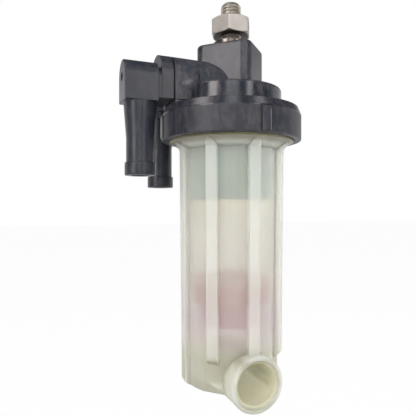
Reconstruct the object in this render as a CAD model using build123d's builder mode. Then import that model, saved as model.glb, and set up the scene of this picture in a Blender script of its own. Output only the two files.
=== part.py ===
"""Fuel filter assembly for an outboard engine: a moulded head that hangs from one stud,
two arms with welded hose ends, a locking ring, and a translucent cup with a float.

Millimetres, +Z up. The origin is the middle of the bracket seat, on the stud's axis.
The front arm runs along -X and the sensor port of the cup opens along -Y.
"""
import math
import os
from build123d import *

os.makedirs("parts", exist_ok=True)

# Clearances
slip_gap = 0.3            # between pieces that turn or slide past each other
fit_gap = 0.05            # between pieces that are held together

# Tower, the block on top of the head that the bracket sits on
tower_depth = 19.8        # across the face that looks forward and left
tower_width = 21.8
tower_shift = 0.3         # the stud stands this much off the tower's middle
tower_height = 16.9
tower_corner_r = 3.5
tower_top_r = 1.3
tower_turn = -45.0        # degrees from the front arm

# Disc and threaded skirt of the head
disc_r = 19.6
disc_height = 6.9
disc_edge_r = 0.9
skirt_r = 25.2
skirt_height = 7.3
skirt_bevel = 1.6
skirt_bore_r = 21.9
skirt_bore_height = 4.6
head_wall = 3.0
spigot_r = 5.0
spigot_bore_r = 3.2
spigot_length = 14.4

# Arms, two arch-shaped branches of the head, mirror images of each other
arm_v_angle = 56.0        # degrees between the two arms
arm_width = 15.5
arm_root_width = 20.3
arm_front_y = -4.4        # front side of the arm at its end
arm_root_front_y = -9.3
arm_top_z = -5.2
arm_bottom_z = -22.6
arm_root_top_z = -6.5
arm_root_x = -4.0
arm_end_x = -24.2
collar_thick = 1.8
foot_azimuth = 208.5      # where the swept foot of the front arm ends on the disc
foot_proud = 1.2          # it stands this far out of the disc
foot_rise = 6.4           # it fades into the arm this far above the disc
foot_sweep = 1.3          # how hollow it is at the bottom
collar_drop = 1.5
channel_r = 2.6
channel_z = -15.3
inlet_drop_radius = 12.5  # where the inlet channel turns down, from the stud's axis

# Hose ends, one welded to each arm
weld_land_thick = 0.6
weld_land_inset = 0.9
end_flange_thick = 4.4
end_neck_length = 1.55
end_neck_inset = 1.5
end_box_length = 12.05
end_box_width = 11.6
end_box_top_z = -9.3
end_box_bottom_z = -24.1
end_edge_r = 0.5
dimple_r = 1.6
dimple_depth = 3.0

# Hose barbs
barb_root_r = 6.0
barb_neck_r = 5.0
barb_taper_length = 13.0
barb_bead_r = 5.55
barb_bead_length = 4.8
barb_bead_edge_r = 0.6
barb_bore_r = 3.4
front_barb_end_z = -50.5
rear_barb_end_z = -53.6
barb_radius = 36.2        # from the stud's axis to a barb's axis

# Stud, nut and spring washer, M8
stud_r = 4.0
stud_above = 17.4
stud_chamfer = 1.0
stud_shank_r = 3.6       # rolled size, up to just above the nut
stud_end_gap = 0.3       # from the nut to the free end's full size
stud_shank_depth = 5.0
stud_head_across = 13.0
stud_head_height = 5.3
nut_across = 14.0
nut_height = 6.5
nut_lift = 4.8            # height of the nut's underside above the seat
nut_bevel = 1.2
washer_r = 6.9
washer_bore_r = 4.3
washer_thick = 2.0
washer_split = 1.2
washer_split_azimuth = 285.0

# Locking ring
ring_wall = 1.6
ring_height = 12.1
ring_top_drop = 0.6       # below the top of the skirt
ring_bevel_width = 1.1    # steep bevel round the top
ring_bevel_height = 2.7
ring_lip_thick = 2.0
ring_lip_cover = 0.7      # how far the lip reaches under the cup's flange
ring_edge_r = 0.5
lug_count = 3
lug_width = 3.6
lug_reach = 0.5
lug_azimuth = 271.0

# Cup
cup_flange_thick = 3.0
cup_neck_height = 4.3
cup_neck_bore_r = 18.2
cup_collar_drop = 0.5     # the collar shows this much below the ring
cup_collar_step = 0.5
cup_panel_r = 18.3        # panels between the ribs, at the top
cup_panel_low_r = 17.6
cup_flare_height = 3.3
cup_bore_r = 16.2
cup_bore_low_r = 15.9
cup_height_below_ring = 91.7
cup_corner_r = 2.3
cup_floor = 2.6
float_seat_drop = 61.2    # from the ring's underside to the ledge that holds the float
cup_sump_r = 14.4
rib_count = 8
rib_width = 4.2
rib_front_r = 20.55
rib_front_low_r = 19.65
rib_back_r = 17.0
rib_shoulder_width = 3.5  # halfway up the tip
rib_tip_width = 1.0
rib_tip_front_r = 23.2
rib_tip_height = 2.9
short_rib_lift = 10.2     # the ribs beside the port stop this far above the bottom
short_rib_slope = 1.9     # height of their sloped lower end
rib_recess_width = 7.0
rib_recess_r = 17.1
port_r = 10.0
port_bore_r = 7.4
port_mouth_r = 8.6
port_mouth_depth = 1.2
port_lift = 4.6           # port axis above the cup's bottom
port_stub = 2.6           # the port's mouth stands this far beyond the ribs
port_edge_r = 0.8
pocket_end_y = 3.0        # blind end of the port's bore
pocket_wall = 2.4

# Seal on the cup's neck
seal_section_r = 0.85
seal_groove_width = 2.3
seal_groove_depth = 1.5
seal_groove_top = 0.8

# Float
float_play = 0.5          # between the float and the cup's bore
float_flange_height = 9.0
float_hub_r = 11.5
float_height = 18.0
float_bore_r = 6.0
float_edge_r = 0.8
magnet_r = 10.5
magnet_bore_r = 7.5
magnet_height = 5.0

# Filter element
element_top_gap = 0.3     # below the skirt's lower edge
element_play = 0.4        # between the element and the cup's bore
element_top_cap_height = 3.6
element_mesh_length = 24.1
element_bottom_cap_height = 5.1
cap_rim = 1.2
pleat_count = 28
pleat_inset = 0.5         # the pleats end this far inside the caps
pleat_root_r = 10.2
pleat_fold = 1.3          # how deep the inside of a fold lies behind its crest
core_r = 9.7
core_wall = 1.3
core_window_width = 4.0
core_window_height = 4.4
core_window_rows = 4
core_windows_round = 6
element_seal_r = 7.2

# Levels that follow from the sizes above
disc_top_z = -tower_height
skirt_top_z = disc_top_z - disc_height
skirt_low_z = skirt_top_z - skirt_height
ring_top_z = skirt_top_z - ring_top_drop
ring_low_z = ring_top_z - ring_height
lip_top_z = ring_low_z + ring_lip_thick
cup_flange_low_z = lip_top_z + fit_gap
cup_flange_top_z = cup_flange_low_z + cup_flange_thick
cup_neck_top_z = cup_flange_top_z + cup_neck_height
cup_low_z = ring_low_z - cup_height_below_ring
flare_top_z = ring_low_z - cup_collar_drop
flare_low_z = flare_top_z - cup_flare_height
float_seat_z = ring_low_z - float_seat_drop
port_z = cup_low_z + port_lift
port_reach = rib_front_low_r + port_stub
head_ceiling_z = disc_top_z - head_wall
bore_top_z = skirt_low_z + skirt_bore_height
element_top_z = skirt_low_z - element_top_gap
mesh_top_z = element_top_z - element_top_cap_height
mesh_low_z = mesh_top_z - element_mesh_length
element_low_z = mesh_low_z - element_bottom_cap_height

ring_bore_r = skirt_r + slip_gap
ring_r = ring_bore_r + ring_wall
cup_flange_r = ring_bore_r - slip_gap
ring_lip_bore_r = cup_flange_r - ring_lip_cover
cup_collar_r = ring_lip_bore_r - slip_gap
cup_neck_r = skirt_bore_r - slip_gap
element_r = cup_bore_r - element_play
pleat_r = element_r - pleat_inset
float_r = cup_bore_low_r - float_play

v_plane_azimuth = 180.0 - arm_v_angle / 2
v_plane = Plane(
    origin=(0, 0, 0),
    x_dir=(0, 0, 1),
    z_dir=(math.sin(math.radians(v_plane_azimuth)), -math.cos(math.radians(v_plane_azimuth)), 0),
)


def save(piece, name):
    """Label a finished piece and write its file."""
    piece.part.label = name
    export_step(piece.part, f"parts/{name}.step")


def turned(points):
    """Outline of a turned form, from (radius, height) points."""
    Polygon(*points, align=None)


def arch(width, front_y, top_z, bottom_z):
    """Arch outline with a round top, flat sides and a flat bottom, in a plane across the arm."""
    radius = width / 2
    middle_y = front_y + radius
    spring_z = top_z - radius
    with Locations((middle_y, spring_z)):
        Circle(radius)
    with Locations((middle_y, (spring_z + bottom_z) / 2)):
        Rectangle(width, spring_z - bottom_z)
    with Locations((middle_y, (top_z + bottom_z) / 2)):
        Rectangle(width, top_z - bottom_z, mode=Mode.INTERSECT)


def pleats(valley_r, crest_r, mode=Mode.ADD):
    """Star outline of a pleated sheet."""
    points = []
    for i in range(2 * pleat_count):
        radius = crest_r if i % 2 else valley_r
        angle = math.pi * i / pleat_count
        points.append((radius * math.cos(angle), radius * math.sin(angle)))
    Polygon(*points, align=None, mode=mode)


# Arms of the head: a tapered arch with an upright collar at its end
with BuildPart() as arms:
    with BuildSketch(Plane.YZ.offset(arm_root_x)):
        arch(arm_root_width, arm_root_front_y, arm_root_top_z, arm_bottom_z)
    with BuildSketch(Plane.YZ.offset(arm_end_x)):
        arch(arm_width, arm_front_y, arm_top_z, arm_bottom_z)
    loft(ruled=True)
    with BuildSketch(Plane.YZ.offset(arm_end_x)):
        arch(arm_width, arm_front_y, arm_top_z, arm_bottom_z - collar_drop)
    extrude(amount=collar_thick)
    # Foot that sweeps from the arm's side to a corner on the disc
    foot_x = (disc_r + foot_proud) * math.cos(math.radians(foot_azimuth))
    foot_y = (disc_r + foot_proud) * math.sin(math.radians(foot_azimuth))
    side_x = arm_end_x + collar_thick
    half_y = (arm_front_y + foot_y) / 2
    for height, start, middle, corner in (
        (
            skirt_top_z, (side_x, arm_front_y - fit_gap),
            ((side_x + foot_x) / 2 + foot_sweep, half_y + foot_sweep), (foot_x, foot_y),
        ),
        (
            disc_top_z - disc_edge_r, (side_x, arm_front_y - fit_gap),
            ((side_x + foot_x) / 2 + fit_gap, half_y + fit_gap), (foot_x, foot_y),
        ),
        (
            disc_top_z + foot_rise, (side_x, arm_front_y + 0.4),
            (0.9 * foot_x - 2.0, arm_front_y - 0.2), (0.8 * foot_x, arm_front_y - 0.6),
        ),
    ):
        with BuildSketch(Plane.XY.offset(height)):
            with BuildLine():
                ThreePointArc(start, middle, corner)
                Polyline(corner, (0.5 * foot_x, 0), (side_x, 0), start)
            make_face()
    loft(ruled=True)
    mirror(about=v_plane)

# Head: tower, disc and skirt in one moulding with the arms
with BuildPart() as head:
    with BuildSketch(Plane.XY.offset(disc_top_z - disc_edge_r)):
        with Locations((
            -tower_shift * math.cos(math.radians(tower_turn)),
            -tower_shift * math.sin(math.radians(tower_turn)),
        )):
            RectangleRounded(tower_width, tower_depth, tower_corner_r, rotation=tower_turn)
    extrude(amount=tower_height + disc_edge_r)
    fillet(head.faces().sort_by(Axis.Z)[-1].edges(), radius=tower_top_r)
    with BuildSketch(Plane.XZ):
        turned([
            (0, disc_top_z), (disc_r, disc_top_z), (disc_r, skirt_top_z),
            (skirt_r - skirt_bevel, skirt_top_z), (skirt_r, skirt_top_z - skirt_bevel),
            (skirt_r, skirt_low_z), (0, skirt_low_z),
        ])
    revolve(axis=Axis.Z)
    fillet(
        head.edges().filter_by(GeomType.CIRCLE).filter_by(
            lambda e: abs(e.radius - disc_r) < 0.01 and abs(e.center().Z - disc_top_z) < 0.01
        ),
        radius=disc_edge_r,
    )
    add(arms.part)
    # Underside: the bore that takes the cup's neck, and the space above the element
    with BuildSketch(Plane.XZ):
        turned([
            (0, skirt_low_z), (skirt_bore_r, skirt_low_z), (skirt_bore_r, bore_top_z),
            (disc_r - head_wall, bore_top_z), (disc_r - head_wall, head_ceiling_z), (0, head_ceiling_z),
        ])
    revolve(axis=Axis.Z, mode=Mode.SUBTRACT)
    # Outlet spigot that the element pushes onto
    with BuildSketch(Plane.XY.offset(head_ceiling_z)):
        Circle(spigot_r)
    extrude(amount=-spigot_length)
    # Outlet channel: along the front arm and down through the spigot
    with BuildSketch(Plane.YZ.offset(arm_end_x)):
        with Locations((0, channel_z)):
            Circle(channel_r)
    extrude(amount=-arm_end_x, mode=Mode.SUBTRACT)
    with BuildSketch(Plane.XY.offset(channel_z)):
        Circle(spigot_bore_r)
    extrude(amount=-(spigot_length + channel_z - head_ceiling_z), mode=Mode.SUBTRACT)
    # Inlet channel: along the rear arm and down beside the spigot
    with BuildSketch(Plane.YZ.offset(arm_end_x), mode=Mode.PRIVATE) as inlet_mouth:
        with Locations((0, channel_z)):
            Circle(channel_r)
    extrude(
        inlet_mouth.sketch.mirror(v_plane),
        amount=-arm_end_x - inlet_drop_radius,
        dir=(-math.cos(math.radians(180 - arm_v_angle)), -math.sin(math.radians(180 - arm_v_angle)), 0),
        mode=Mode.SUBTRACT,
    )
    with BuildSketch(Plane.XY.offset(channel_z)):
        with Locations((
            inlet_drop_radius * math.cos(math.radians(180 - arm_v_angle)),
            inlet_drop_radius * math.sin(math.radians(180 - arm_v_angle)),
        )):
            Circle(channel_r)
    extrude(amount=head_ceiling_z - channel_z, mode=Mode.SUBTRACT)
    # Seat of the moulded-in stud
    with BuildSketch(Plane.XY):
        Circle(stud_shank_r + fit_gap)
    extrude(amount=-stud_shank_depth, mode=Mode.SUBTRACT)
    with BuildSketch(Plane.XY.offset(-stud_shank_depth)):
        RegularPolygon(stud_head_across / 2 + fit_gap, 6, major_radius=False)
    extrude(amount=-(stud_head_height + fit_gap), mode=Mode.SUBTRACT)
save(head, "head")


def hose_end(barb_end_z):
    """Hose end of the front arm: flange, neck and arch-shaped box with a barb below."""
    flange_x = arm_end_x - weld_land_thick
    neck_x = flange_x - end_flange_thick
    box_x = neck_x - end_neck_length
    end_x = box_x - end_box_length
    with BuildPart() as end:
        with BuildSketch(Plane.YZ.offset(arm_end_x)):
            arch(
                arm_width - 2 * weld_land_inset, arm_front_y + weld_land_inset,
                arm_top_z - weld_land_inset, arm_bottom_z + weld_land_inset,
            )
        extrude(amount=-weld_land_thick)
        with BuildSketch(Plane.YZ.offset(flange_x)):
            arch(arm_width, arm_front_y, arm_top_z, arm_bottom_z)
        extrude(amount=-end_flange_thick)
        with BuildSketch(Plane.YZ.offset(neck_x)):
            arch(
                end_box_width - 2 * end_neck_inset, end_neck_inset - end_box_width / 2,
                end_box_top_z - end_neck_inset, end_box_bottom_z + end_neck_inset,
            )
        extrude(amount=-end_neck_length)
        with BuildSketch(Plane.YZ.offset(box_x)):
            arch(end_box_width, -end_box_width / 2, end_box_top_z, end_box_bottom_z)
        extrude(amount=-end_box_length)
        fillet(end.faces().sort_by(Axis.X)[0].edges(), radius=end_edge_r)
        # Barb, turned about the upright through the middle of the box
        bead_top_z = barb_end_z + barb_bead_length
        taper_low_z = end_box_bottom_z - barb_taper_length
        with BuildSketch(Plane.XZ, mode=Mode.PRIVATE) as barb:
            with BuildLine():
                Polyline(
                    (0, barb_end_z), (barb_bead_r, barb_end_z), (barb_bead_r, bead_top_z),
                    (barb_neck_r, bead_top_z), (barb_neck_r, taper_low_z),
                    (barb_root_r, end_box_bottom_z), (0, end_box_bottom_z), close=True,
                )
            make_face()
            fillet(
                barb.vertices().filter_by(lambda v: abs(v.X - barb_bead_r) < 0.01),
                radius=barb_bead_edge_r * 0.8,
            )
        with Locations((-barb_radius, 0, 0)):
            add(revolve(barb.sketch, axis=Axis.Z, mode=Mode.PRIVATE))
        # Bore up the barb, channel to the arm, and the blind dimple in the end face
        with BuildSketch(Plane.XY.offset(barb_end_z)):
            with Locations((-barb_radius, 0)):
                Circle(barb_bore_r)
        extrude(amount=channel_z - barb_end_z, mode=Mode.SUBTRACT)
        with BuildSketch(Plane.YZ.offset(arm_end_x)):
            with Locations((0, channel_z)):
                Circle(channel_r)
        extrude(amount=-(barb_radius + arm_end_x), mode=Mode.SUBTRACT)
        with BuildSketch(Plane.YZ.offset(end_x)):
            with Locations((0, channel_z)):
                Circle(dimple_r)
        extrude(amount=dimple_depth, mode=Mode.SUBTRACT)
    return end


hose_end_front = hose_end(front_barb_end_z)
save(hose_end_front, "hose_end_front")

with BuildPart() as hose_end_rear:
    add(hose_end(rear_barb_end_z).part.mirror(v_plane))
save(hose_end_rear, "hose_end_rear")

# Stud with its moulded-in hexagon head
with BuildPart() as mounting_stud:
    stud_end_z = nut_lift + nut_height + stud_end_gap
    with BuildSketch(Plane.XY.offset(-stud_shank_depth)):
        Circle(stud_shank_r)
    extrude(amount=stud_shank_depth + stud_end_z)
    with BuildSketch(Plane.XY.offset(stud_end_z)):
        Circle(stud_r)
    extrude(amount=stud_above - stud_end_z)
    chamfer(mounting_stud.faces().sort_by(Axis.Z)[-1].edges(), length=stud_chamfer)
    with BuildSketch(Plane.XY.offset(-stud_shank_depth)):
        RegularPolygon(stud_head_across / 2, 6, major_radius=False)
    extrude(amount=-stud_head_height)
save(mounting_stud, "mounting_stud")

# Hexagon nut with both ends turned to a bevel
with BuildPart() as mounting_nut:
    corner_r = nut_across / math.sqrt(3)
    with BuildSketch(Plane.XY.offset(nut_lift)):
        RegularPolygon(corner_r, 6)
        Circle(stud_shank_r + fit_gap, mode=Mode.SUBTRACT)
    extrude(amount=nut_height)
    with BuildSketch(Plane.XZ):
        turned([
            (0, nut_lift), (corner_r - nut_bevel, nut_lift),
            (corner_r, nut_lift + nut_bevel * math.tan(math.radians(30))),
            (corner_r, nut_lift + nut_height - nut_bevel * math.tan(math.radians(30))),
            (corner_r - nut_bevel, nut_lift + nut_height), (0, nut_lift + nut_height),
        ])
    revolve(axis=Axis.Z, mode=Mode.INTERSECT)
save(mounting_nut, "mounting_nut")

# Spring washer, split once
with BuildPart() as spring_washer:
    with BuildSketch(Plane.XY):
        Circle(washer_r)
        Circle(washer_bore_r, mode=Mode.SUBTRACT)
        with PolarLocations(washer_r, 1, start_angle=washer_split_azimuth):
            Rectangle(2 * washer_r, washer_split, mode=Mode.SUBTRACT)
    extrude(amount=washer_thick)
save(spring_washer, "spring_washer")

# Locking ring with three low grip lugs
with BuildPart() as locking_ring:
    with BuildSketch(Plane.XZ) as ring_profile:
        turned([
            (ring_bore_r, ring_top_z), (ring_r - ring_bevel_width, ring_top_z),
            (ring_r, ring_top_z - ring_bevel_height), (ring_r, ring_low_z),
            (ring_lip_bore_r, ring_low_z), (ring_lip_bore_r, lip_top_z), (ring_bore_r, lip_top_z),
        ])
        fillet(ring_profile.vertices().filter_by(lambda v: v.X > ring_r - 0.01), radius=ring_edge_r)
    revolve(axis=Axis.Z)
    with BuildSketch(Plane.XY.offset(ring_low_z + ring_edge_r)):
        with PolarLocations(ring_r, lug_count, start_angle=lug_azimuth):
            Rectangle(4 * lug_reach, lug_width)
        Circle(ring_r + lug_reach, mode=Mode.INTERSECT)
        Circle(ring_r - lug_reach, mode=Mode.SUBTRACT)
    extrude(amount=ring_height - ring_edge_r - ring_bevel_height)
save(locking_ring, "locking_ring")

# Cup: turned body, ribs, port and blind sensor pocket, in one translucent moulding
with BuildPart() as cup_ribs:
    for i in range(rib_count):
        azimuth = 360 / rib_count * i
        low_z = cup_low_z
        if azimuth in (225.0, 315.0):
            low_z = cup_low_z + short_rib_lift
        if azimuth == 270.0:
            low_z = port_z
        share = (low_z - cup_low_z) / (flare_low_z - cup_low_z)
        low_front = rib_front_low_r + share * (rib_front_r - rib_front_low_r)
        rib_levels = [
            (low_z, low_front, rib_width),
            (flare_low_z, rib_front_r, rib_width),
            (flare_low_z + rib_tip_height / 2, (rib_front_r + rib_tip_front_r) / 2, rib_shoulder_width),
            (flare_low_z + rib_tip_height, rib_tip_front_r, rib_tip_width),
        ]
        if azimuth in (225.0, 315.0):
            rib_levels[0] = (low_z + short_rib_slope, low_front, rib_width)
            rib_levels.insert(0, (low_z, cup_panel_low_r + fit_gap, rib_width))
        for lower, upper in zip(rib_levels, rib_levels[1:]):
            for height, front, width in (lower, upper):
                with BuildSketch(Plane.XY.offset(height)):
                    with PolarLocations((front + rib_back_r) / 2, 1, start_angle=azimuth):
                        Rectangle(front - rib_back_r, width)
            loft(ruled=True)

with BuildPart() as cup:
    with BuildSketch(Plane.XZ):
        turned([
            (0, cup_low_z), (cup_panel_low_r, cup_low_z), (cup_panel_r, flare_low_z),
            (cup_collar_r - cup_collar_step, flare_top_z), (cup_collar_r, flare_top_z),
            (cup_collar_r, cup_flange_low_z), (cup_flange_r, cup_flange_low_z),
            (cup_flange_r, cup_flange_top_z), (cup_neck_r, cup_flange_top_z),
            (cup_neck_r, cup_neck_top_z), (0, cup_neck_top_z),
        ])
    revolve(axis=Axis.Z)
    add(cup_ribs.part)
    # The ribs beside the port stop short, and flat-bottomed recesses run down below them
    with BuildSketch(Plane.XY.offset(cup_low_z)):
        for azimuth in (225.0, 315.0):
            with PolarLocations(rib_recess_r + rib_front_r, 1, start_angle=azimuth):
                Rectangle(2 * rib_front_r, rib_recess_width)
    extrude(amount=short_rib_lift, mode=Mode.SUBTRACT)
    # One rounded lower edge runs over panels and ribs alike
    with BuildSketch(Plane.XZ) as envelope:
        with BuildLine():
            Polyline(
                (0, cup_low_z), (rib_front_low_r + fit_gap, cup_low_z),
                (rib_front_r + fit_gap, flare_low_z), (cup_flange_r + 1, flare_low_z + rib_tip_height),
                (cup_flange_r + 1, cup_neck_top_z), (0, cup_neck_top_z), close=True,
            )
        make_face()
        fillet(
            envelope.vertices().filter_by(lambda v: v.X > 1 and abs(v.Y - cup_low_z) < 0.01),
            radius=cup_corner_r,
        )
    revolve(axis=Axis.Z, mode=Mode.INTERSECT)
    # Inside: neck bore, main bore with a slight taper, ledge for the float, sump below it
    with BuildSketch(Plane.XZ):
        turned([
            (0, cup_neck_top_z), (cup_neck_bore_r, cup_neck_top_z), (cup_neck_bore_r, cup_flange_low_z),
            (cup_bore_r, flare_low_z), (cup_bore_low_r, float_seat_z), (cup_sump_r, float_seat_z),
            (cup_sump_r, cup_low_z + cup_floor), (0, cup_low_z + cup_floor),
        ])
    revolve(axis=Axis.Z, mode=Mode.SUBTRACT)
    # Groove for the seal round the neck
    with BuildSketch(Plane.XZ):
        turned([
            (cup_neck_r - seal_groove_depth, cup_neck_top_z - seal_groove_top),
            (cup_neck_r + 1, cup_neck_top_z - seal_groove_top),
            (cup_neck_r + 1, cup_neck_top_z - seal_groove_top - seal_groove_width),
            (cup_neck_r - seal_groove_depth, cup_neck_top_z - seal_groove_top - seal_groove_width),
        ])
    revolve(axis=Axis.Z, mode=Mode.SUBTRACT)
    # Port tube across the sump, closed at its inner end
    with BuildSketch(Plane.XZ.offset(port_reach)):
        with Locations((0, port_z)):
            Circle(port_r)
    extrude(amount=-(port_reach + pocket_end_y + pocket_wall))
    fillet(
        cup.edges().filter_by(GeomType.CIRCLE).filter_by(
            lambda e: abs(e.radius - port_r) < 0.01 and abs(e.center().Y + port_reach) < 0.01
        ),
        radius=port_edge_r,
    )
    with BuildSketch(Plane.XZ.offset(port_reach)):
        with Locations((0, port_z)):
            Circle(port_mouth_r)
    with BuildSketch(Plane.XZ.offset(port_reach - port_mouth_depth)):
        with Locations((0, port_z)):
            Circle(port_bore_r)
    loft(mode=Mode.SUBTRACT)
    with BuildSketch(Plane.XZ.offset(port_reach)):
        with Locations((0, port_z)):
            Circle(port_bore_r)
    extrude(amount=-(port_reach + pocket_end_y), mode=Mode.SUBTRACT)
save(cup, "cup")

# Seal between the cup's neck and the skirt's bore
with BuildPart() as cup_seal:
    seal_z = cup_neck_top_z - seal_groove_top - seal_groove_width / 2
    with BuildSketch(Plane.XZ):
        with Locations((skirt_bore_r - seal_section_r - fit_gap, seal_z)):
            Circle(seal_section_r)
    revolve(axis=Axis.Z)
save(cup_seal, "cup_seal")

# Float: wide flange that rests on the cup's ledge, hub below it
with BuildPart() as float_ring:
    flange_top_z = float_seat_z + fit_gap + float_flange_height
    hub_low_z = flange_top_z - float_height
    with BuildSketch(Plane.XZ):
        turned([
            (float_bore_r, hub_low_z), (float_hub_r, hub_low_z), (float_hub_r, float_seat_z + fit_gap),
            (float_r, float_seat_z + fit_gap), (float_r, flange_top_z), (float_bore_r, flange_top_z),
        ])
    revolve(axis=Axis.Z)
    fillet(
        float_ring.edges().filter_by(GeomType.CIRCLE).filter_by(
            lambda e: e.radius > float_hub_r - 0.01 and abs(e.center().Z - float_seat_z) > 1
        ),
        radius=float_edge_r,
    )
    # Pocket for the magnet, open below
    with BuildSketch(Plane.XY.offset(hub_low_z)):
        Circle(magnet_r + fit_gap)
        Circle(magnet_bore_r - fit_gap, mode=Mode.SUBTRACT)
    extrude(amount=magnet_height, mode=Mode.SUBTRACT)
save(float_ring, "float_ring")

with BuildPart() as float_magnet:
    with BuildSketch(Plane.XY.offset(hub_low_z)):
        Circle(magnet_r)
        Circle(magnet_bore_r, mode=Mode.SUBTRACT)
    extrude(amount=magnet_height - fit_gap)
save(float_magnet, "float_magnet")

# Element: top cap, slotted core, pleated mesh, bottom cap, grommet on the outlet spigot
with BuildPart() as element_top_cap:
    with BuildSketch(Plane.XZ):
        turned([
            (element_seal_r, element_top_z), (element_r, element_top_z),
            (element_r, mesh_top_z - cap_rim), (element_r - cap_rim / 3, mesh_top_z - cap_rim),
            (element_r - cap_rim / 3, mesh_top_z), (element_seal_r, mesh_top_z),
        ])
    revolve(axis=Axis.Z)
save(element_top_cap, "element_top_cap")

with BuildPart() as element_bottom_cap:
    with BuildSketch(Plane.XY.offset(element_low_z)):
        Circle(element_r)
    extrude(amount=element_bottom_cap_height)
    fillet(element_bottom_cap.edges().sort_by(Axis.Z)[0], radius=float_edge_r)
save(element_bottom_cap, "element_bottom_cap")

with BuildPart() as element_core:
    core_length = element_mesh_length - 2 * fit_gap
    with BuildSketch(Plane.XY.offset(mesh_low_z + fit_gap)):
        Circle(core_r)
        Circle(core_r - core_wall, mode=Mode.SUBTRACT)
    extrude(amount=core_length)
    row_pitch = core_length / core_window_rows
    for row in range(core_window_rows):
        with BuildSketch(Plane.XY.offset(mesh_low_z + (row + 0.5) * row_pitch - core_window_height / 2)):
            with PolarLocations(core_r, core_windows_round):
                Rectangle(4 * core_wall, core_window_width)
        extrude(amount=core_window_height, mode=Mode.SUBTRACT)
save(element_core, "element_core")

with BuildPart() as element_mesh:
    with BuildSketch(Plane.XY.offset(mesh_low_z + fit_gap)):
        pleats(pleat_root_r, pleat_r)
        pleats(core_r + fit_gap, pleat_r - pleat_fold, mode=Mode.SUBTRACT)
    extrude(amount=element_mesh_length - 2 * fit_gap)
save(element_mesh, "element_mesh")

with BuildPart() as element_seal:
    with BuildSketch(Plane.XY.offset(mesh_top_z)):
        Circle(element_seal_r - fit_gap)
        Circle(spigot_r + fit_gap, mode=Mode.SUBTRACT)
    extrude(amount=element_top_cap_height)
save(element_seal, "element_seal")
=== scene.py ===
"""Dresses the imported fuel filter: threaded stud, moulded plastics, translucent cup, studio light."""
import math

import bpy
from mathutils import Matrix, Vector


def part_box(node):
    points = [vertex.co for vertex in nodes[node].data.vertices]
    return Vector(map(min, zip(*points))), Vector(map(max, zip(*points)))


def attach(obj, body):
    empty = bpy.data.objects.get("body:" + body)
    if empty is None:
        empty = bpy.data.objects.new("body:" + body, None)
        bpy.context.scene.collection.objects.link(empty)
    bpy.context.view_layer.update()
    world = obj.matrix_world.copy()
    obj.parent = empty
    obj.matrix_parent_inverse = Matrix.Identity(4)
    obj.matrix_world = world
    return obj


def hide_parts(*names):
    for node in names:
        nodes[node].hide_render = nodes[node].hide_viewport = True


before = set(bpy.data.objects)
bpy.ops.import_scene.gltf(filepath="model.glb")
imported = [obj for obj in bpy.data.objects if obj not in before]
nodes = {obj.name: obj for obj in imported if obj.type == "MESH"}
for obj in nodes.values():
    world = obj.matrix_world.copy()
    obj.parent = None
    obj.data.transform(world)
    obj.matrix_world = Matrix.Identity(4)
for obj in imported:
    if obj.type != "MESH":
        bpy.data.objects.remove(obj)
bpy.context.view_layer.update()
MM = 0.001
LOW, HIGH = 0, 1
X, Z = 0, 2


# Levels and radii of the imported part, in millimetres
def box_side(node, corner, axis):
    """One side of a node's box at rest, to a hundredth of a millimetre."""
    return round(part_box(node)[corner][axis] / MM, 2)


ring_top = box_side("locking_ring", HIGH, Z)
ring_foot = box_side("locking_ring", LOW, Z)
ring_r = box_side("locking_ring", HIGH, X)
cup_foot = box_side("cup", LOW, Z)
float_top = box_side("float_ring", HIGH, Z)
nut_foot = box_side("mounting_nut", LOW, Z)
stud_top = box_side("mounting_stud", HIGH, Z)

disc_top = -16.9                # of the head's upright disc
disc_height = 6.9
disc_r = 19.6
bevel_foot = ring_top - 2.7     # the ring's wall starts below its bevel
lug_count = 3
lug_azimuth = 271.0             # of the lug that the photograph shows
lug_reach = 0.5                 # how far a lug stands out of the wall
lug_half_width = 1.8
lug_head = ring_top - 3.2
tab_azimuth = 172.0             # of the stop on the ring's left side
port_axis = cup_foot + 10.0
thread_r = 4.0
thread_depth = 0.68
thread_pitch = 1.25


# Nodes that the materials share
def new_material(name):
    mat = bpy.data.materials.new(name)
    mat.use_nodes = True
    tree = mat.node_tree
    shader = tree.nodes["Principled BSDF"]
    coord = tree.nodes.new("ShaderNodeTexCoord")
    return mat, tree, shader, coord


def noise(tree, coord, scale, detail=3.0, rough=0.55, stretch=None):
    """Noise in object space; scale is in cycles per metre."""
    tex = tree.nodes.new("ShaderNodeTexNoise")
    tex.inputs["Scale"].default_value = scale
    tex.inputs["Detail"].default_value = detail
    tex.inputs["Roughness"].default_value = rough
    vector = coord.outputs["Object"]
    if stretch:
        mapping = tree.nodes.new("ShaderNodeMapping")
        mapping.inputs["Scale"].default_value = stretch
        tree.links.new(vector, mapping.inputs["Vector"])
        vector = mapping.outputs["Vector"]
    tree.links.new(vector, tex.inputs["Vector"])
    return tex.outputs["Fac"]


noise_low, noise_high = 0.3, 0.7    # most of a noise lies between these


def two_tone(tree, fac, dark, light):
    """Colour that runs from dark to light with a noise."""
    node = tree.nodes.new("ShaderNodeValToRGB")
    stops = (noise_low, dark), (noise_high, light)
    for element, (position, colour) in zip(node.color_ramp.elements, stops):
        element.position = position
        element.color = (*colour, 1.0)
    tree.links.new(fac, node.inputs["Fac"])
    return node.outputs["Color"]


def map_range(tree, value, from_range, to_range):
    node = tree.nodes.new("ShaderNodeMapRange")
    node.inputs["From Min"].default_value, node.inputs["From Max"].default_value = from_range
    node.inputs["To Min"].default_value, node.inputs["To Max"].default_value = to_range
    tree.links.new(value, node.inputs["Value"])
    return node


def wander(tree, fac, limits):
    """Value that moves between its limits with a noise."""
    return map_range(tree, fac, (noise_low, noise_high), limits).outputs["Result"]


def span(tree, value, low, high, start=0.0, end=1.0):
    """Smooth step from start to end between two values."""
    node = map_range(tree, value, (low, high), (start, end))
    node.interpolation_type = "SMOOTHSTEP"
    return node.outputs["Result"]


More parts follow.
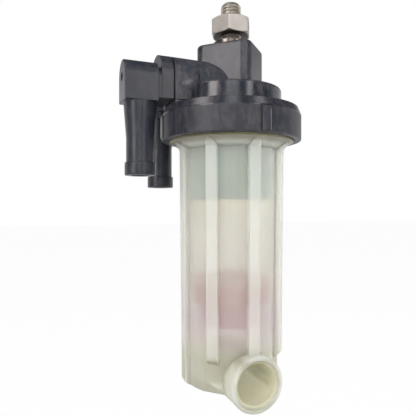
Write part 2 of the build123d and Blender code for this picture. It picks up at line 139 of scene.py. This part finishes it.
def zone(tree, value, low, high, start=0.0, end=1.0):
    """Smooth step between two places in millimetres."""
    return span(tree, value, low * MM, high * MM, start, end)


def join(tree, operation, *values):
    """Math node; each value is a number or another node's output."""
    node = tree.nodes.new("ShaderNodeMath")
    node.operation = operation
    for socket, value in zip(node.inputs, values):
        if isinstance(value, (int, float)):
            socket.default_value = value
        else:
            tree.links.new(value, socket)
    return node.outputs[0]


def multiply(tree, product, *factors):
    for factor in factors:
        product = join(tree, "MULTIPLY", product, factor)
    return product


def band(tree, value, near, far):
    """Mask between two blurred edges; each edge gives where it is 0 and where it is 1."""
    return multiply(tree, zone(tree, value, *near), zone(tree, value, *far))


def length(tree, first, second):
    """Length of the vector with these two parts."""
    squares = join(tree, "ADD", multiply(tree, first, first), multiply(tree, second, second))
    return join(tree, "SQRT", squares)


def place(tree, coord):
    """Object-space x, y, z and distance from the stud's axis."""
    axes = tree.nodes.new("ShaderNodeSeparateXYZ")
    tree.links.new(coord.outputs["Object"], axes.inputs[0])
    x, y, z = (axes.outputs[k] for k in "XYZ")
    return x, y, z, length(tree, x, y)


def tint(tree, fac, first, second):
    """Blend from the first colour to the second."""
    node = tree.nodes.new("ShaderNodeMix")
    node.data_type = "RGBA"
    tree.links.new(fac, node.inputs["Factor"])
    for key, value in (("A", first), ("B", second)):
        socket = [k for k in node.inputs if k.name == key and k.type == "RGBA"][0]
        if isinstance(value, tuple):
            socket.default_value = (*value, 1.0)
        else:
            tree.links.new(value, socket)
    return [k for k in node.outputs if k.type == "RGBA"][0]


def bumps(tree, shader, layers, edge=0.0):
    """Bump layers over edges rounded to a radius.

    A layer has a height, its distance in millimetres and its strength. Edge is in millimetres.
    """
    normal = None
    if edge:
        bevel = tree.nodes.new("ShaderNodeBevel")
        bevel.samples = 6
        bevel.inputs["Radius"].default_value = edge * MM
        normal = bevel.outputs["Normal"]
    for height, distance, strength in layers:
        bump = tree.nodes.new("ShaderNodeBump")
        bump.inputs["Distance"].default_value = distance * MM
        bump.inputs["Strength"].default_value = strength
        tree.links.new(height, bump.inputs["Height"])
        if normal:
            tree.links.new(normal, bump.inputs["Normal"])
        normal = bump.outputs["Normal"]
    tree.links.new(normal, shader.inputs["Normal"])


# Moulded plastics and rubber
def lug_edges(tree, coord, azimuth):
    """Lug masks, one lug at the azimuth: a painted highlight on the long edge, the seams' painted
    shadow.
    """
    x, y, z, radius = place(tree, coord)
    half_pitch = math.pi / lug_count
    angle = join(tree, "SUBTRACT", join(tree, "ARCTAN2", y, x), math.radians(azimuth))
    angle = join(tree, "WRAP", angle, half_pitch, -half_pitch)
    middle_r = ring_r + 0.2
    along = multiply(tree, angle, middle_r * MM)

    def stripe(value, first, second):
        blur = 0.12
        return band(tree, value, (first - blur, first), (second + blur, second))

    foot = zone(tree, z, ring_foot + 0.6, ring_foot + 0.8)
    outer = zone(tree, radius, ring_r - 0.5, ring_r - 0.2)
    shaded_seam_at, lit_edge_at = -2.0, lug_half_width
    lit_edge = stripe(along, lit_edge_at - 0.3, lit_edge_at)
    lit_edge = multiply(tree, lit_edge, zone(tree, z, ring_top - 3.8, ring_top - 4.6), foot, outer)
    side = stripe(along, shaded_seam_at, shaded_seam_at + 0.25)
    side = multiply(tree, side, zone(tree, z, bevel_foot + 0.1, bevel_foot), foot)
    head = multiply(tree, stripe(along, shaded_seam_at, lit_edge_at), stripe(z, lug_head, lug_head + 0.45))
    return lit_edge, multiply(tree, join(tree, "MAXIMUM", side, head), outer)


def polished(tree, coord, top, foot, reach):
    """Mask between two levels and inside a radius."""
    *_, z, radius = place(tree, coord)
    blur = 0.4
    shine = band(tree, z, (top, top - blur), (foot - blur, foot))
    return multiply(tree, shine, zone(tree, radius, reach + blur, reach))


def moulded(name, dark, light, rough, bloom=0.0, polish=None, lugs=None):
    """Moulded plastic: cloudy tone, fine grain, roughness that wanders between two limits.

    Bloom is the share of warm grey flow marks that run down the walls, partly painted sheen. Polish is
    a top, a foot and a radius, between and inside which the surface shines. Lugs is the azimuth of a
    lug.
    """
    # Warm grey of the flow marks, which partly paints a mottled sheen
    flow_mark_and_sheen = (0.150, 0.125, 0.118)
    painted_shadow_black = (0.004, 0.004, 0.006)
    painted_highlight_grey = (0.20, 0.21, 0.24)
    mat, tree, shader, coord = new_material(name)
    cloud = noise(tree, coord, 120)
    fine = noise(tree, coord, 2600, detail=2.0)
    flow = noise(tree, coord, 260, detail=2.0)
    colour = two_tone(tree, cloud, dark, light)
    sheen = wander(tree, flow, rough)
    layers = [(flow, 0.25, 0.12), (fine, 0.05, 0.3)]
    if bloom:
        streak = noise(tree, coord, 420, detail=8.0, rough=0.78, stretch=(1.0, 1.0, 0.4))
        patch = multiply(tree, span(tree, streak, 0.43, 0.64), bloom)
        colour = tint(tree, patch, colour, flow_mark_and_sheen)
        sheen = wander(tree, streak, rough)
    if polish:
        shine = polished(tree, coord, *polish)
        sheen = multiply(tree, sheen, span(tree, shine, 0.0, 1.0, 1.0, 0.5))
    if lugs:
        lit_edge, shaded_seam = lug_edges(tree, coord, lugs)
        # Painted shadow in the seams, and a painted highlight on the lug's long edge
        colour = tint(tree, multiply(tree, shaded_seam, 0.8), colour, painted_shadow_black)
        colour = tint(tree, multiply(tree, lit_edge, 0.5), colour, painted_highlight_grey)
        layers.append((join(tree, "SUBTRACT", 1.0, shaded_seam), 0.3, 1.0))
    tree.links.new(colour, shader.inputs["Base Color"])
    tree.links.new(sheen, shader.inputs["Roughness"])
    bumps(tree, shader, layers, edge=0.35)
    return mat


black_plastic = moulded(
    "black_plastic", (0.015, 0.018, 0.028), (0.023, 0.026, 0.038), rough=(0.25, 0.42),
    bloom=0.36, polish=(disc_top, disc_top - disc_height, disc_r + 0.6),
)
barb_plastic = moulded(
    "barb_plastic", (0.011, 0.014, 0.023), (0.018, 0.021, 0.032), rough=(0.28, 0.4), bloom=0.12,
)
ring_plastic = moulded(
    "ring_plastic", (0.012, 0.014, 0.022), (0.019, 0.021, 0.031), rough=(0.38, 0.54),
    bloom=0.2, polish=(ring_top + 0.4, bevel_foot - 0.2, ring_r + 0.9), lugs=lug_azimuth,
)
# Painted highlight: the stop is a lighter copy of the ring's black plastic
lit_tab_plastic = moulded(
    "lit_tab_plastic", (0.07, 0.072, 0.08), (0.12, 0.122, 0.13), rough=(0.3, 0.45), lugs=tab_azimuth,
)
cap_plastic = moulded("cap_plastic", (0.86, 0.80, 0.69), (0.91, 0.87, 0.77), rough=(0.4, 0.5))
core_plastic = moulded("core_plastic", (0.72, 0.70, 0.62), (0.78, 0.76, 0.68), rough=(0.4, 0.5))
seal_rubber = moulded("seal_rubber", (0.050, 0.034, 0.022), (0.070, 0.050, 0.032), rough=(0.5, 0.65))
magnet_grey = moulded("magnet_grey", (0.055, 0.055, 0.058), (0.080, 0.080, 0.084), rough=(0.45, 0.6))


# Steels
def steel(name, dark, light, rough, stretch, shade=None, edge=0.25):
    """Brushed steel. Shade makes the mask that blends it to a brown painted shade."""
    painted_shade_brown = (0.085, 0.070, 0.060)
    mat, tree, shader, coord = new_material(name)
    shader.inputs["Metallic"].default_value = 1.0
    cloud = noise(tree, coord, 160)
    brush = noise(tree, coord, 900, detail=4.0, rough=0.6, stretch=stretch)
    colour = two_tone(tree, cloud, dark, light)
    if shade:
        *_, z, radius = place(tree, coord)
        colour = tint(tree, shade(tree, z, radius), colour, painted_shade_brown)
    tree.links.new(colour, shader.inputs["Base Color"])
    tree.links.new(wander(tree, brush, rough), shader.inputs["Roughness"])
    bumps(tree, shader, [(brush, 0.02, 0.35)], edge)
    return mat


def thread_root(tree, z, radius):
    """Painted shade down in the thread, and under the nut."""
    root = zone(tree, radius, thread_r - 0.4, thread_r - 0.65, 0.0, 0.75)
    under_nut = zone(tree, z, nut_foot + 0.2, nut_foot - 0.2, 0.0, 0.5)
    return join(tree, "MAXIMUM", root, under_nut)


def nut_underside(tree, z, radius):
    """Painted shade round the bore on the nut's underside."""
    near_foot = zone(tree, z, nut_foot + 0.4, nut_foot + 0.1)
    return multiply(tree, near_foot, zone(tree, radius, 7.6, 6.4))


nut_steel = steel(
    "nut_steel", (0.48, 0.445, 0.41), (0.60, 0.57, 0.525), rough=(0.38, 0.52),
    stretch=(1.0, 1.0, 0.15), shade=nut_underside, edge=0.4,
)
thread_steel = steel(
    "thread_steel", (0.54, 0.50, 0.44), (0.68, 0.64, 0.57), rough=(0.34, 0.44),
    stretch=(1.0, 1.0, 6.0), shade=thread_root,
)
washer_steel = steel(
    "washer_steel", (0.12, 0.10, 0.09), (0.30, 0.27, 0.24), rough=(0.2, 0.35), stretch=(1.0, 1.0, 1.0),
)


# Translucent cup
def looks_down(tree):
    """Mask of the surfaces that look down."""
    geometry = tree.nodes.new("ShaderNodeNewGeometry")
    axes = tree.nodes.new("ShaderNodeSeparateXYZ")
    tree.links.new(geometry.outputs["Normal"], axes.inputs[0])
    return span(tree, axes.outputs["Z"], -0.25, -0.75)


def cup_masks(tree, coord):
    """Masks of the cup's zones, placed by the ring's foot, the float, the port and the cup's foot.

    The warm and violet float glows are faint painted light of the red float, round its place at rest.
    """
    x, y, z, radius = place(tree, coord)
    port_reach = length(tree, x, join(tree, "SUBTRACT", z, port_axis * MM))
    rib_height = band(tree, z, (ring_foot - 1.1, ring_foot - 2.9), (cup_foot + 17.6, cup_foot + 19.6))
    warm_float_glow = band(tree, z, (float_top + 28.65, float_top + 4.65), (cup_foot + 13.6, cup_foot + 25.6))
    violet_float_glow = band(tree, z, (float_top - 6.35, float_top - 13.35), (cup_foot + 16.6, cup_foot + 26.6))
    # Painted shade inside the port's bore
    bore = multiply(tree, zone(tree, port_reach, 8.3, 7.6), zone(tree, y, 3.2, 2.6))
    # The port's lower outer wall is denser, and its tint is painted light
    wall = multiply(tree, zone(tree, port_reach, 8.3, 8.8), zone(tree, y, -15.0, -18.0))
    wall = multiply(tree, wall, zone(tree, z, port_axis + 8.6, port_axis + 4.6))
    return {
        "warm_float_glow": multiply(tree, warm_float_glow, 0.35),
        # Painted shade, darker towards the bottom
        "bottom_shade": zone(tree, z, cup_foot + 25.6, cup_foot + 15.6, 0.0, 0.6),
        "violet_float_glow": multiply(tree, violet_float_glow, 0.4),
        "port wall": wall,
        # Painted shade at the port's foot
        "port foot": multiply(tree, wall, zone(tree, z, port_axis - 2.4, port_axis - 7.4, 0.0, 0.8)),
        # Painted shadow of the ring on the flare below it
        "flare": zone(tree, z, ring_foot - 4.0, ring_foot - 0.9, 0.0, 0.7),
        "rib": multiply(tree, zone(tree, radius, 18.2, 20.8), rib_height),
        "rim": zone(tree, z, ring_foot - 0.8, ring_foot - 0.4, 0.0, 0.8),
        # Painted shade on the surfaces that look down, near the bottom
        "underside": multiply(tree, looks_down(tree), zone(tree, z, cup_foot + 33.6, cup_foot + 23.6)),
        "port bore": bore,
    }


def translucent():
    """Milky moulded plastic that light passes through, denser in the ribs and in the port."""
    mat, tree, shader, coord = new_material("cup_plastic")
    cloud = noise(tree, coord, 70)
    wave = noise(tree, coord, 90, detail=1.0, rough=0.4, stretch=(1.0, 1.0, 0.35))
    strands = noise(tree, coord, 650, rough=0.6, stretch=(1.0, 1.0, 0.03))
    masks = cup_masks(tree, coord)
    masks["strands"] = span(tree, strands, 0.35, 0.75, 0.0, 0.4)
    colour = two_tone(tree, cloud, (0.85, 0.84, 0.77), (0.91, 0.90, 0.835))
    for key, shade in (
        ("strands", (0.80, 0.80, 0.74)), ("warm_float_glow", (0.80, 0.75, 0.73)), ("bottom_shade", (0.70, 0.69, 0.57)),
        ("violet_float_glow", (0.74, 0.62, 0.66)), ("port wall", (0.78, 0.785, 0.73)),
        ("port foot", (0.60, 0.60, 0.51)), ("flare", (0.66, 0.65, 0.50)),
        ("rib", (0.785, 0.795, 0.745)), ("rim", (0.42, 0.35, 0.20)),
        ("underside", (0.58, 0.57, 0.45)), ("port bore", (0.72, 0.70, 0.51)),
    ):
        colour = tint(tree, masks[key], colour, shade)
    tree.links.new(colour, shader.inputs["Base Color"])
    solid = join(tree, "MAXIMUM", masks["rib"], masks["port bore"])
    solid = join(tree, "MAXIMUM", solid, masks["port wall"])
    clear_share, milky_share = 0.74, 0.5
    transmission = span(tree, solid, 0.0, 1.0, clear_share, milky_share)
    tree.links.new(transmission, shader.inputs["Transmission Weight"])
    shader.inputs["Roughness"].default_value = 0.42
    shader.inputs["IOR"].default_value = 1.22
    shader.inputs["Coat Weight"].default_value = 0.25
    shader.inputs["Coat Roughness"].default_value = 0.25
    shader.inputs["Subsurface Weight"].default_value = 0.3
    shader.inputs["Subsurface Radius"].default_value = (1.0, 0.95, 0.75)
    shader.inputs["Subsurface Scale"].default_value = 3 * MM
    bumps(tree, shader, [(wave, 0.6, 0.07), (strands, 0.12, 0.35)])
    return mat


# Float and filter cloth
def foam():
    """Red float foam, paler towards its top and on the hub below its flange."""
    mat, tree, shader, coord = new_material("red_float")
    z = place(tree, coord)[Z]
    cell = noise(tree, coord, 1600, detail=4.0, rough=0.7)
    cloud = noise(tree, coord, 150)
    red = two_tone(tree, cloud, (0.40, 0.02, 0.05), (0.50, 0.035, 0.075))
    hub = zone(tree, z, float_top - 9.35, float_top - 13.35, 0.0, 0.6)
    crown = zone(tree, z, float_top - 3.35, float_top - 1.35, 0.0, 0.8)
    colour = tint(tree, join(tree, "MAXIMUM", hub, crown), red, (0.60, 0.36, 0.38))
    tree.links.new(colour, shader.inputs["Base Color"])
    tree.links.new(wander(tree, cell, (0.6, 0.8)), shader.inputs["Roughness"])
    bumps(tree, shader, [(cell, 0.1, 0.5)], edge=0.4)
    return mat


def cloth():
    """Filter cloth: fine square weave over a teal grey."""
    weave_scale, weave_wobble = 900, 0.4
    mat, tree, shader, coord = new_material("filter_cloth")
    cloud = noise(tree, coord, 200)
    weave = []
    for direction in ("X", "Z"):
        wave = tree.nodes.new("ShaderNodeTexWave")
        wave.bands_direction = direction
        wave.inputs["Scale"].default_value = weave_scale
        wave.inputs["Distortion"].default_value = weave_wobble
        tree.links.new(coord.outputs["Object"], wave.inputs["Vector"])
        weave.append(wave.outputs["Fac"])
    square = multiply(tree, *weave)
    colour = two_tone(tree, cloud, (0.17, 0.48, 0.41), (0.25, 0.59, 0.51))
    tree.links.new(colour, shader.inputs["Base Color"])
    tree.links.new(wander(tree, square, (0.6, 0.85)), shader.inputs["Roughness"])
    bumps(tree, shader, [(square, 0.1, 0.4)])
    return mat


for name, mat in (
    ("head", black_plastic), ("hose_end_front", barb_plastic), ("hose_end_rear", barb_plastic),
    ("locking_ring", ring_plastic), ("mounting_nut", nut_steel), ("spring_washer", washer_steel),
    ("cup", translucent()), ("cup_seal", seal_rubber), ("element_seal", seal_rubber),
    ("element_top_cap", cap_plastic), ("element_bottom_cap", cap_plastic),
    ("element_core", core_plastic), ("element_mesh", cloth()), ("float_ring", foam()),
    ("float_magnet", magnet_grey), ("mounting_stud", thread_steel),
):
    for slot in nodes[name].material_slots:
        slot.material = mat


# Pieces that the CAD leaves to the scene
def ring_point(radius, angle, z):
    """Point in metres from a radius and a level in millimetres."""
    return radius * MM * math.cos(angle), radius * MM * math.sin(angle), z * MM


def grid_mesh(name, rings, material, smooth_angle):
    """Closed skin through rings of equal length, with its ends capped."""
    verts = [v for ring in rings for v in ring]
    n = len(rings[0])
    faces = []
    for i in range(len(rings) - 1):
        for j in range(n):
            k = (j + 1) % n
            faces.append((i * n + j, i * n + k, (i + 1) * n + k, (i + 1) * n + j))
    faces.append(tuple(range(n))[::-1])
    faces.append(tuple((len(rings) - 1) * n + j for j in range(n)))
    mesh = bpy.data.meshes.new(name)
    mesh.from_pydata(verts, [], faces)
    mesh.update()
    for poly in mesh.polygons:
        poly.use_smooth = True
    mesh.set_sharp_from_angle(angle=smooth_angle)
    mesh.materials.append(material)
    obj = bpy.data.objects.new(name, mesh)
    bpy.context.scene.collection.objects.link(obj)
    return obj


def threaded_stud():
    """The stud's visible end with its thread as a real helix of ridges."""
    start = -5.0                # hidden in the tower
    end_r = 3.0                 # of the chamfered free end
    rings_per_pitch, points_per_turn = 14, 56
    root_share, flank_share = 0.1, 0.76
    count = int((stud_top - start) / thread_pitch * rings_per_pitch)
    rings = []
    for i in range(count + 1):
        z = start + (stud_top - start) * i / count
        chamfer_r = end_r + (stud_top - z)
        ring = []
        for j in range(points_per_turn):
            turn_share = j / points_per_turn
            ridge_share = (z / thread_pitch - turn_share) % 1.0
            tooth = (abs(2 * ridge_share - 1) - root_share) / flank_share
            tooth = min(max(tooth, 0.0), 1.0)
            radius = min(thread_r - thread_depth * (1 - tooth), chamfer_r)
            ring.append(ring_point(radius, 2 * math.pi * turn_share, z))
        rings.append(ring)
    obj = grid_mesh("stud_thread", rings, thread_steel, smooth_angle=0.7)
    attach(obj, "head_group")
    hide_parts("mounting_stud")


def ring_tab():
    """Raised stop on the ring's left side."""
    middle, half = math.radians(tab_azimuth), lug_half_width / ring_r
    inner, outer = ring_r - 0.2, ring_r + lug_reach
    foot, top = ring_foot + 0.5, lug_head
    steps = 6
    rings = []
    for i in range(steps + 1):
        angle = middle + half * (2 * i / steps - 1)
        corners = ((inner, foot), (inner, top), (outer, top), (outer, foot))
        rings.append([ring_point(radius, angle, z) for radius, z in corners])
    obj = grid_mesh("ring_tab", rings, lit_tab_plastic, smooth_angle=0.6)
    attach(obj, "ring_group")


threaded_stud()
ring_tab()


# Floor and world
def rays(tree):
    """Light path node, and a mask of the rays that carry gloss and glass."""
    path = tree.nodes.new("ShaderNodeLightPath")
    glossy, transmitted = path.outputs["Is Glossy Ray"], path.outputs["Is Transmission Ray"]
    return path, join(tree, "MAXIMUM", glossy, transmitted)


def mix_shaders(tree, fac, first, second, output):
    mixer = tree.nodes.new("ShaderNodeMixShader")
    out = tree.nodes.new(output)
    tree.links.new(fac, mixer.inputs["Fac"])
    tree.links.new(first.outputs[0], mixer.inputs[1])
    tree.links.new(second.outputs[0], mixer.inputs[2])
    tree.links.new(mixer.outputs[0], out.inputs["Surface"])


def pale_floor():
    """Floor that the camera, gloss and glass see as white, with a small share that is lit.

    The lit share keeps the object's shadow.
    """
    floor_z, reach, glow_share = -0.26, 4.0, 0.95
    corners = [(x * reach, y * reach, floor_z) for x, y in ((-1, -1), (1, -1), (1, 1), (-1, 1))]
    mesh = bpy.data.meshes.new("floor")
    mesh.from_pydata(corners, [], [(0, 1, 2, 3)])
    floor = bpy.data.objects.new("floor", mesh)
    bpy.context.scene.collection.objects.link(floor)
    mat = bpy.data.materials.new("floor")
    mat.use_nodes = True
    tree = mat.node_tree
    tree.nodes.clear()
    diffuse = tree.nodes.new("ShaderNodeBsdfDiffuse")
    diffuse.inputs["Color"].default_value = (0.86, 0.86, 0.85, 1.0)
    glow = tree.nodes.new("ShaderNodeEmission")
    glow.inputs["Strength"].default_value = 1.0
    path, seen = rays(tree)
    seen = join(tree, "MAXIMUM", seen, path.outputs["Is Camera Ray"])
    share = multiply(tree, seen, glow_share)
    mix_shaders(tree, share, diffuse, glow, "ShaderNodeOutputMaterial")
    mesh.materials.append(mat)


def studio_world(turn):
    """World that is white to the camera, and dimmer as light.

    Gloss and glass see white in the half behind the object, up to a little above the horizon.
    All else is an even room, which is darker in reflections than as light.
    """
    room_level, mirror_level = 0.62, 0.13
    world = bpy.data.worlds.new("studio")
    bpy.context.scene.world = world
    world.use_nodes = True
    tree = world.node_tree
    tree.nodes.clear()
    coord = tree.nodes.new("ShaderNodeTexCoord")
    away = tree.nodes.new("ShaderNodeVectorMath")
    away.operation = "DOT_PRODUCT"
    away.inputs[1].default_value = (math.sin(turn), math.cos(turn), 0.0)
    tree.links.new(coord.outputs["Generated"], away.inputs[0])
    axes = tree.nodes.new("ShaderNodeSeparateXYZ")
    tree.links.new(coord.outputs["Generated"], axes.inputs[0])
    behind = span(tree, away.outputs["Value"], -0.1, 0.35)
    low_down = span(tree, axes.outputs["Z"], 0.45, 0.2)
    path, seen = rays(tree)
    seen = multiply(tree, seen, multiply(tree, behind, low_down))
    seen = join(tree, "MAXIMUM", seen, path.outputs["Is Camera Ray"])
    white = tree.nodes.new("ShaderNodeBackground")
    white.inputs["Strength"].default_value = 1.0
    white.inputs["Color"].default_value = (1.0, 1.0, 1.0, 1.0)
    mirrored = join(tree, "SUBTRACT", path.outputs["Is Glossy Ray"], path.outputs["Is Transmission Ray"])
    room = tree.nodes.new("ShaderNodeBackground")
    level = span(tree, mirrored, 0.0, 1.0, room_level, mirror_level)
    tree.links.new(level, room.inputs["Strength"])
    room.inputs["Color"].default_value = (0.97, 0.985, 1.0, 1.0)
    mix_shaders(tree, seen, room, white, "ShaderNodeOutputWorld")


camera_turn = math.radians(22.0)
pale_floor()
studio_world(camera_turn)


# Lamps
def lamp(name, spot, size, level, colour=(1.0, 1.0, 1.0)):
    """Area lamp that faces the object, and whose surface shines at the given level."""
    aim = Vector((0, 0, -0.05))
    data = bpy.data.lights.new(name, "AREA")
    data.shape = "RECTANGLE"
    data.size, data.size_y = size
    data.energy = level * math.pi * size[0] * size[1]
    data.color = colour
    obj = bpy.data.objects.new(name, data)
    obj.location = spot
    obj.rotation_euler = (aim - Vector(spot)).to_track_quat("-Z", "Y").to_euler()
    bpy.context.scene.collection.objects.link(obj)
    return obj


def around(azimuth, distance, height):
    """Point at an azimuth in degrees and a distance from the stud's axis."""
    angle = math.radians(azimuth)
    return distance * math.cos(angle), distance * math.sin(angle), height


lamp_distance = 0.75
low_height, low_length, high_length = 0.22, 0.44, 0.26
# A low lamp shows in the upright disc, and its high partner in the ring's bevel.
# Low lamps have an azimuth, a width and a level; high ones an elevation too.
for name, low_lamp, high_lamp, colour in (
    ("strip_left", (206, 0.26, 6.8), (184, 50, 0.24, 5.0), (1.0, 0.95, 0.93)),
    ("window", (248, 0.36, 2.3), (248, 57, 0.20, 2.8), (0.92, 0.97, 1.0)),
    ("strip_right", (286, 0.17, 4.5), (307, 50, 0.16, 3.4), (1.0, 0.97, 0.96)),
):
    azimuth, width, level = low_lamp
    lamp(name, around(azimuth, lamp_distance, low_height), (width, low_length), level, colour)
    azimuth, elevation, width, level = high_lamp
    rise = math.radians(elevation)
    spot = around(azimuth, lamp_distance * math.cos(rise), lamp_distance * math.sin(rise))
    lamp(name + "_high", spot, (width, high_length), level, colour)
for name, spot, size, level in (
    ("side", around(335, lamp_distance, 0.0), (0.3, 0.7), 4.0),
    ("top", (0.05, 0.05, 0.8), (0.6, 0.6), 0.8),
):
    fill = lamp(name, spot, size, level)
    fill.visible_glossy = False

# Camera of the photograph, fitted to the ring, the cup and the tower
image_width = 416.0     # pixels
focal_length = 429.0    # pixels
horizon_shift = -3.8    # pixels from the image's middle
side, back, height = 0.0090, 0.1688, -0.0608
camera_data = bpy.data.cameras.new("camera")
camera_data.sensor_fit = "HORIZONTAL"
camera_data.sensor_width = 36.0
camera_data.lens = camera_data.sensor_width * focal_length / image_width
camera_data.shift_y = horizon_shift / image_width
camera_data.clip_start = 0.01
camera = bpy.data.objects.new("camera", camera_data)
camera.location = (
    -side * math.cos(camera_turn) - back * math.sin(camera_turn),
    side * math.sin(camera_turn) - back * math.cos(camera_turn),
    height,
)
camera.rotation_euler = (math.radians(90), 0, -camera_turn)
bpy.context.scene.collection.objects.link(camera)
bpy.context.scene.camera = camera
bpy.context.scene.view_settings.view_transform = "Standard"
